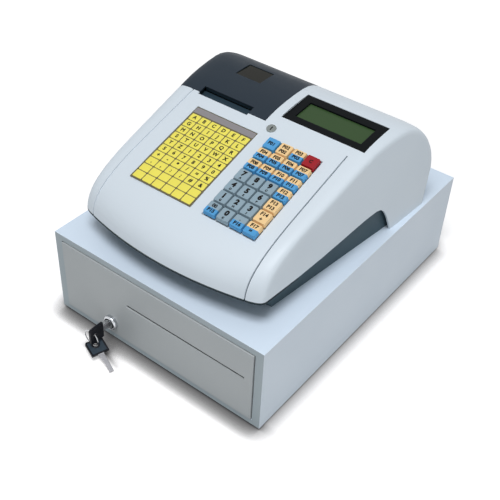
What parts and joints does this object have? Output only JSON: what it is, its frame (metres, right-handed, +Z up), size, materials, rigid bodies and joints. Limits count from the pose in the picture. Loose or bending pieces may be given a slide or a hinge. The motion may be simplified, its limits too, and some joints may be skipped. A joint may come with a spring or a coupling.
{
  "type": "cash register on a cash drawer",
  "caption": "Table-top cash register with flat and raised keyboards, tilted display and covered receipt printer, on a lockable metal cash drawer with a till tray.",
  "frame": {"origin": "on the table, at the middle of the whole footprint, keys included (the drawer's own middle lies 24.4 mm behind it)", "axes": "+Z up; -Y is the drawer front, where the operator stands; +X to the operator's right"},
  "size_m": [0.33, 0.4888, 0.2705],
  "materials": {
    "housing_steel": "pale grey fine powder coat",
    "feet_rubber": "moulded",
    "tray_steel": "grey powder coat",
    "till_plastic": "moulded",
    "clip_plastic": "moulded",
    "latch_steel": "plated",
    "lock_chrome": "polished",
    "key_bow_plastic": "moulded, on a steel blade",
    "ring_steel": "bright",
    "base_plastic": "fine grain",
    "shell_plastic": "fine grain",
    "cover_plastic": "fine grain",
    "window_plastic": "smoked, clear",
    "roll_paper": "thermal paper",
    "printer_plastic": "moulded",
    "platen_rubber": "ground",
    "bezel_plastic": "satin",
    "lcd_green": "glass-fronted display, off",
    "rear_lens": "smoked lens",
    "sheet_olive": "printed sheet",
    "label_yellow": "printed legends under a clear film",
    "board_green": "solder mask",
    "mode_steel": "turned",
    "inlet_plastic": "moulded",
    "screw_steel": "zinc plated",
    "cap_blue": "moulded cap",
    "cap_beige": "moulded cap",
    "cap_grey": "moulded cap",
    "cap_red": "moulded cap"
  },
  "bodies": {
    "register": {"drawer_housing": "housing_steel", "rubber_feet": "feet_rubber", "latch_solenoid": "latch_steel", "bottom_case": "base_plastic", "top_case": "shell_plastic", "printer_frame": "printer_plastic", "display_bezel": "bezel_plastic", "lcd_panel": "lcd_green", "rear_display": "rear_lens", "flat_keyboard": "sheet_olive", "flat_key_labels": "label_yellow", "main_board": "board_green", "power_inlet": "inlet_plastic", "case_screws": "screw_steel"},
    "drawer": {"drawer_tub": "tray_steel", "drawer_front": "housing_steel", "till_insert": "till_plastic", "coin_cups": "till_plastic", "lock_barrel": "lock_chrome"},
    "lock": {"lock_plug": "lock_chrome", "drawer_key": "key_bow_plastic"},
    "spare": {"key_ring": "ring_steel", "spare_key": "key_bow_plastic"},
    "cover": {"printer_cover": "cover_plastic", "cover_window": "window_plastic"},
    "roll": {"paper_roll": "roll_paper"},
    "platen": {"platen_roller": "platen_rubber"},
    "mode": {"mode_lock": "mode_steel"},
    "clip_1": {"bill_clip_1": "clip_plastic"},
    "clip_2": {"bill_clip_2": "clip_plastic"},
    "clip_3": {"bill_clip_3": "clip_plastic"},
    "clip_4": {"bill_clip_4": "clip_plastic"},
    "key_11": {"key_11": "cap_blue"},
    "key_12": {"key_12": "cap_beige"},
    "key_13": {"key_13": "cap_beige"},
    "key_14": {"key_14": "cap_red"},
    "key_21": {"key_21": "cap_beige"},
    "key_22": {"key_22": "cap_beige"},
    "key_23": {"key_23": "cap_beige"},
    "key_24": {"key_24": "cap_beige"},
    "key_31": {"key_31": "cap_beige"},
    "key_32": {"key_32": "cap_beige"},
    "key_33": {"key_33": "cap_beige"},
    "key_34": {"key_34": "cap_beige"},
    "key_41": {"key_41": "cap_grey"},
    "key_42": {"key_42": "cap_grey"},
    "key_43": {"key_43": "cap_grey"},
    "key_44": {"key_44": "cap_beige"},
    "key_51": {"key_51": "cap_grey"},
    "key_52": {"key_52": "cap_grey"},
    "key_53": {"key_53": "cap_grey"},
    "key_54": {"key_54": "cap_beige"},
    "key_61": {"key_61": "cap_grey"},
    "key_62": {"key_62": "cap_grey"},
    "key_63": {"key_63": "cap_grey"},
    "key_64": {"key_64": "cap_beige"},
    "key_71": {"key_71": "cap_grey"},
    "key_72": {"key_72": "cap_grey"},
    "key_73": {"key_73": "cap_grey"},
    "key_74": {"key_74": "cap_beige"}
  },
  "joints": [
    {"name": "drawer_slide", "type": "slide", "parent": "register", "child": "drawer", "axis": [0, -1, 0], "range_m": [0, 0.32]},
    {"name": "lock_turn", "type": "hinge", "parent": "drawer", "child": "lock", "pos_m": [-0.0715, -0.19062, 0.032], "axis": [0, -1, 0], "range_deg": [0, 90]},
    {"name": "spare_key_swing", "type": "hinge", "parent": "lock", "child": "spare", "pos_m": [-0.0715, -0.22822, 0.032], "axis": [-1, 0, 0], "range_deg": [0, 70]},
    {"name": "cover_hinge", "type": "hinge", "parent": "register", "child": "cover", "pos_m": [-0.06, 0.17136, 0.20639], "axis": [-1, 0, 0], "range_deg": [0, 60]},
    {"name": "roll_spin", "type": "hinge", "parent": "register", "child": "roll", "pos_m": [-0.077, 0.08438, 0.23], "axis": [1, 0, 0], "continuous": true},
    {"name": "platen_spin", "type": "hinge", "parent": "register", "child": "platen", "pos_m": [-0.077, 0.03838, 0.2435], "axis": [1, 0, 0], "continuous": true},
    {"name": "mode_turn", "type": "hinge", "parent": "register", "child": "mode", "pos_m": [0.0128, 0.00934, 0.25793], "axis": [0, -0.2907, 0.9568], "range_deg": [0, 120]},
    {"name": "clip_1_lift", "type": "hinge", "parent": "drawer", "child": "clip_1", "pos_m": [-0.10215, 0.15138, 0.0651], "axis": [-1, 0, 0], "range_deg": [0, 50], "stiffness_Nm_per_rad": 0.04, "springref_deg": -28.65},
    {"name": "clip_2_lift", "type": "hinge", "parent": "drawer", "child": "clip_2", "pos_m": [-0.03405, 0.15138, 0.0651], "axis": [-1, 0, 0], "range_deg": [0, 50], "stiffness_Nm_per_rad": 0.04, "springref_deg": -28.65},
    {"name": "clip_3_lift", "type": "hinge", "parent": "drawer", "child": "clip_3", "pos_m": [0.03405, 0.15138, 0.0651], "axis": [-1, 0, 0], "range_deg": [0, 50], "stiffness_Nm_per_rad": 0.04, "springref_deg": -28.65},
    {"name": "clip_4_lift", "type": "hinge", "parent": "drawer", "child": "clip_4", "pos_m": [0.10215, 0.15138, 0.0651], "axis": [-1, 0, 0], "range_deg": [0, 50], "stiffness_Nm_per_rad": 0.04, "springref_deg": -28.65},
    {"name": "key_11_press", "type": "slide", "parent": "register", "child": "key_11", "axis": [0, 0.2907, -0.9568], "range_m": [0, 0.003], "stiffness_N_per_m": 150, "springref_m": -0.001},
    {"name": "key_12_press", "type": "slide", "parent": "register", "child": "key_12", "axis": [0, 0.2907, -0.9568], "range_m": [0, 0.003], "stiffness_N_per_m": 150, "springref_m": -0.001},
    {"name": "key_13_press", "type": "slide", "parent": "register", "child": "key_13", "axis": [0, 0.2907, -0.9568], "range_m": [0, 0.003], "stiffness_N_per_m": 150, "springref_m": -0.001},
    {"name": "key_14_press", "type": "slide", "parent": "register", "child": "key_14", "axis": [0, 0.2907, -0.9568], "range_m": [0, 0.003], "stiffness_N_per_m": 150, "springref_m": -0.001},
    {"name": "key_21_press", "type": "slide", "parent": "register", "child": "key_21", "axis": [0, 0.2907, -0.9568], "range_m": [0, 0.003], "stiffness_N_per_m": 150, "springref_m": -0.001},
    {"name": "key_22_press", "type": "slide", "parent": "register", "child": "key_22", "axis": [0, 0.2907, -0.9568], "range_m": [0, 0.003], "stiffness_N_per_m": 150, "springref_m": -0.001},
    {"name": "key_23_press", "type": "slide", "parent": "register", "child": "key_23", "axis": [0, 0.2907, -0.9568], "range_m": [0, 0.003], "stiffness_N_per_m": 150, "springref_m": -0.001},
    {"name": "key_24_press", "type": "slide", "parent": "register", "child": "key_24", "axis": [0, 0.2907, -0.9568], "range_m": [0, 0.003], "stiffness_N_per_m": 150, "springref_m": -0.001},
    {"name": "key_31_press", "type": "slide", "parent": "register", "child": "key_31", "axis": [0, 0.2907, -0.9568], "range_m": [0, 0.003], "stiffness_N_per_m": 150, "springref_m": -0.001},
    {"name": "key_32_press", "type": "slide", "parent": "register", "child": "key_32", "axis": [0, 0.2907, -0.9568], "range_m": [0, 0.003], "stiffness_N_per_m": 150, "springref_m": -0.001},
    {"name": "key_33_press", "type": "slide", "parent": "register", "child": "key_33", "axis": [0, 0.2907, -0.9568], "range_m": [0, 0.003], "stiffness_N_per_m": 150, "springref_m": -0.001},
    {"name": "key_34_press", "type": "slide", "parent": "register", "child": "key_34", "axis": [0, 0.2907, -0.9568], "range_m": [0, 0.003], "stiffness_N_per_m": 150, "springref_m": -0.001},
    {"name": "key_41_press", "type": "slide", "parent": "register", "child": "key_41", "axis": [0, 0.2907, -0.9568], "range_m": [0, 0.003], "stiffness_N_per_m": 150, "springref_m": -0.001},
    {"name": "key_42_press", "type": "slide", "parent": "register", "child": "key_42", "axis": [0, 0.2907, -0.9568], "range_m": [0, 0.003], "stiffness_N_per_m": 150, "springref_m": -0.001},
    {"name": "key_43_press", "type": "slide", "parent": "register", "child": "key_43", "axis": [0, 0.2907, -0.9568], "range_m": [0, 0.003], "stiffness_N_per_m": 150, "springref_m": -0.001},
    {"name": "key_44_press", "type": "slide", "parent": "register", "child": "key_44", "axis": [0, 0.2907, -0.9568], "range_m": [0, 0.003], "stiffness_N_per_m": 150, "springref_m": -0.001},
    {"name": "key_51_press", "type": "slide", "parent": "register", "child": "key_51", "axis": [0, 0.2907, -0.9568], "range_m": [0, 0.003], "stiffness_N_per_m": 150, "springref_m": -0.001},
    {"name": "key_52_press", "type": "slide", "parent": "register", "child": "key_52", "axis": [0, 0.2907, -0.9568], "range_m": [0, 0.003], "stiffness_N_per_m": 150, "springref_m": -0.001},
    {"name": "key_53_press", "type": "slide", "parent": "register", "child": "key_53", "axis": [0, 0.2907, -0.9568], "range_m": [0, 0.003], "stiffness_N_per_m": 150, "springref_m": -0.001},
    {"name": "key_54_press", "type": "slide", "parent": "register", "child": "key_54", "axis": [0, 0.2907, -0.9568], "range_m": [0, 0.003], "stiffness_N_per_m": 150, "springref_m": -0.001},
    {"name": "key_61_press", "type": "slide", "parent": "register", "child": "key_61", "axis": [0, 0.2907, -0.9568], "range_m": [0, 0.003], "stiffness_N_per_m": 150, "springref_m": -0.001},
    {"name": "key_62_press", "type": "slide", "parent": "register", "child": "key_62", "axis": [0, 0.2907, -0.9568], "range_m": [0, 0.003], "stiffness_N_per_m": 150, "springref_m": -0.001},
    {"name": "key_63_press", "type": "slide", "parent": "register", "child": "key_63", "axis": [0, 0.2907, -0.9568], "range_m": [0, 0.003], "stiffness_N_per_m": 150, "springref_m": -0.001},
    {"name": "key_64_press", "type": "slide", "parent": "register", "child": "key_64", "axis": [0, 0.2907, -0.9568], "range_m": [0, 0.003], "stiffness_N_per_m": 150, "springref_m": -0.001},
    {"name": "key_71_press", "type": "slide", "parent": "register", "child": "key_71", "axis": [0, 0.2907, -0.9568], "range_m": [0, 0.003], "stiffness_N_per_m": 150, "springref_m": -0.001},
    {"name": "key_72_press", "type": "slide", "parent": "register", "child": "key_72", "axis": [0, 0.2907, -0.9568], "range_m": [0, 0.003], "stiffness_N_per_m": 150, "springref_m": -0.001},
    {"name": "key_73_press", "type": "slide", "parent": "register", "child": "key_73", "axis": [0, 0.2907, -0.9568], "range_m": [0, 0.003], "stiffness_N_per_m": 150, "springref_m": -0.001},
    {"name": "key_74_press", "type": "slide", "parent": "register", "child": "key_74", "axis": [0, 0.2907, -0.9568], "range_m": [0, 0.003], "stiffness_N_per_m": 150, "springref_m": -0.001}
  ],
  "couplings": [
    {"joint": "platen_spin", "follows": "roll_spin", "ratio": 4.8333}
  ]
}
